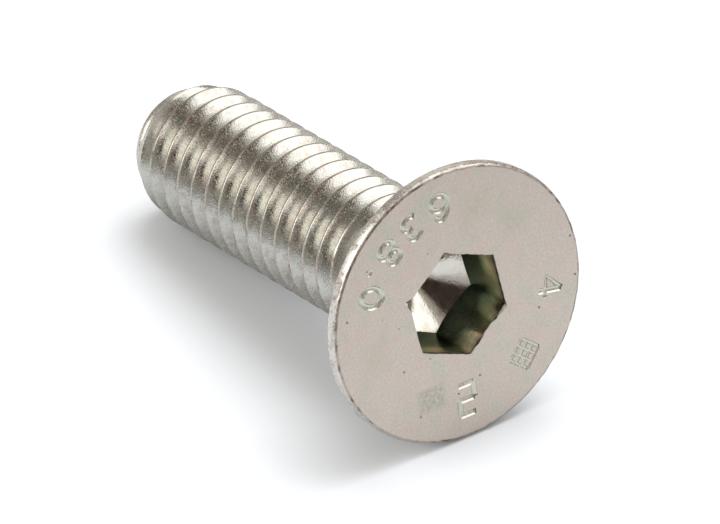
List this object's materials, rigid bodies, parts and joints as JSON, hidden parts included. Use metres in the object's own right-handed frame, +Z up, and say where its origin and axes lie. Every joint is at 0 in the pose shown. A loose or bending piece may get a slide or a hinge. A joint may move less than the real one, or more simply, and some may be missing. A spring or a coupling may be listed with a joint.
{
  "type": "countersunk hexagon socket screw",
  "caption": "Fully threaded metric countersunk screw with a flat head, a hexagon socket and a tapered point, for flush fastening with a hex key.",
  "frame": {"origin": "on the surface that the screw lies on, below the centre of its bounding box", "axes": "+X runs level from the point towards the head, +Z is up, and +Y is across. The screw's own axis lies in the XZ plane and rises 9.6 degrees from the point to the head, because it rests on its head's rim and on its thread."},
  "size_m": [0.021, 0.0118, 0.0117],
  "materials": {
    "zinc_plated_steel": "bright zinc plating, clear passivated, satin on the face and glossy on the thread's flanks"
  },
  "bodies": {
    "root": {"screw": "zinc_plated_steel"}
  },
  "joints": []
}
